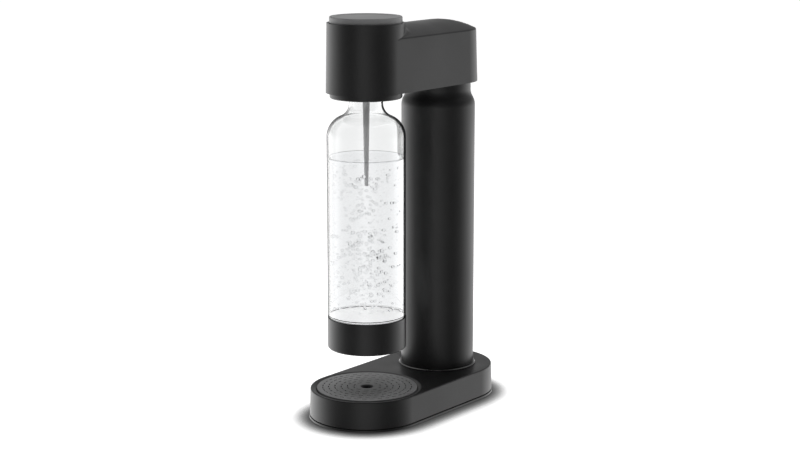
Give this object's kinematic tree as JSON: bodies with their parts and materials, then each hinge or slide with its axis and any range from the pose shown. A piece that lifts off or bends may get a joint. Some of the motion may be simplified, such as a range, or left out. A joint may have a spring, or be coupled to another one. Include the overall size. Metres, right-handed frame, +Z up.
{
  "type": "soda carbonator",
  "caption": "Hand-operated soda carbonator: round-ended base with drip tray, column for a gas cylinder, arm and head with press button, clear screw-in bottle.",
  "frame": {"origin": "on the floor under the middle of the base", "axes": "+Z up, -Y towards the front (bottle side), +X to the right seen from the front"},
  "size_m": [0.1202, 0.2416, 0.415],
  "materials": {
    "black_shell": "satin black moulded plastic",
    "black_trim": "glossy black trim ring",
    "inner_plastic": "dark grey glass-filled plastic",
    "rubber": "black rubber",
    "screw_steel": "zinc plated steel",
    "spring_steel": "drawn spring wire",
    "grey_grille": "satin grey plastic",
    "grey_button": "satin mid grey plastic",
    "nozzle_plastic": "light grey plastic",
    "valve_brass": "turned brass",
    "frame_metal": "coated pressed metal",
    "gas_tube": "clear white gas line",
    "cylinder_metal": "brushed aluminium",
    "clear_bottle": "clear plastic"
  },
  "bodies": {
    "machine": {"base_shell": "black_shell", "base_plate": "black_shell", "rubber_feet": "rubber", "base_screws": "screw_steel", "cylinder_cradle": "inner_plastic", "column_shell": "black_shell", "column_foot_ring": "black_trim", "spine": "inner_plastic", "head_shell": "black_shell", "arm_underside": "black_shell", "underside_screws": "screw_steel", "head_collar": "black_shell", "carbonation_head": "inner_plastic", "bottle_seal": "rubber", "nozzle": "nozzle_plastic", "nozzle_nut": "inner_plastic", "relief_body": "valve_brass", "relief_spring": "spring_steel", "relief_cap": "valve_brass", "arm_frame": "frame_metal", "frame_screws": "screw_steel", "button_guide": "inner_plastic", "guide_screws": "screw_steel", "button_spring": "spring_steel", "valve_block": "valve_brass", "cylinder_gasket": "rubber", "plunger_seal": "rubber", "lever_bracket": "frame_metal", "lever_pin": "screw_steel", "tube_fittings": "valve_brass", "gas_tube": "gas_tube"},
    "button": {"button_cap": "grey_button"},
    "lever": {"actuator_lever": "frame_metal"},
    "plunger": {"plunger": "screw_steel"},
    "relief_poppet": {"relief_poppet": "valve_brass"},
    "valve_spring": {"cylinder_valve_spring": "spring_steel"},
    "gas_cylinder": {"gas_cylinder": "cylinder_metal", "cylinder_valve": "valve_brass"},
    "valve_pin": {"cylinder_valve_pin": "valve_brass"},
    "bottle": {"bottle_body": "clear_bottle", "bottle_base_cup": "black_shell"},
    "drip_tray": {"drip_tray": "black_shell"},
    "drip_grille": {"drip_grille": "grey_grille"},
    "rear_cover": {"rear_cover": "black_shell", "cover_clips": "screw_steel"}
  },
  "joints": [
    {"name": "button_press", "type": "slide", "parent": "machine", "child": "button", "axis": [0, 0, -1], "range_m": [0, 0.005], "stiffness_N_per_m": 900, "springref_m": -0.002, "deforming": ["button_spring"]},
    {"name": "lever_pivot", "type": "hinge", "parent": "machine", "child": "lever", "pos_m": [0, 0.08275, 0.389], "axis": [1, 0, 0], "range_deg": [0, 2]},
    {"name": "plunger_slide", "type": "slide", "parent": "machine", "child": "plunger", "axis": [0, 0, -1], "range_m": [0, 0.0008]},
    {"name": "relief_lift", "type": "slide", "parent": "machine", "child": "relief_poppet", "axis": [0, 0, 1], "range_m": [0, 0.0015], "stiffness_N_per_m": 1500, "springref_m": -0.002, "deforming": ["relief_spring"]},
    {"name": "cylinder_thread_drop", "type": "slide", "parent": "machine", "child": "valve_spring", "axis": [0, 0, -1], "range_m": [0, 0.00901]},
    {"name": "cylinder_unscrew", "type": "hinge", "parent": "valve_spring", "child": "gas_cylinder", "pos_m": [0, 0.06075, 0.2], "axis": [0, 0, 1], "range_deg": [-810, 0]},
    {"name": "valve_pin_slide", "type": "slide", "parent": "valve_spring", "child": "valve_pin", "axis": [0, 0, -1], "range_m": [0, 0.0008], "deforming": ["cylinder_valve_spring"]},
    {"name": "bottle_lower", "type": "slide", "parent": "machine", "child": "bottle", "axis": [0, 0, -1], "range_m": [0, 0.019]},
    {"name": "tray_lift", "type": "slide", "parent": "machine", "child": "drip_tray", "axis": [0, 0, 1], "range_m": [0, 0.014]},
    {"name": "grille_lift", "type": "slide", "parent": "drip_tray", "child": "drip_grille", "axis": [0, 0, 1], "range_m": [0, 0.008]},
    {"name": "cover_pull", "type": "slide", "parent": "machine", "child": "rear_cover", "axis": [0, 1, 0], "range_m": [0, 0.04]}
  ],
  "couplings": [
    {"joint": "lever_pivot", "follows": "button_press", "rad_per_m": 6.9686},
    {"joint": "plunger_slide", "follows": "button_press", "ratio": 0.15331},
    {"joint": "valve_pin_slide", "follows": "button_press", "ratio": 0.15331},
    {"joint": "cylinder_thread_drop", "follows": "cylinder_unscrew", "m_per_rad": -0.00063662}
  ]
}
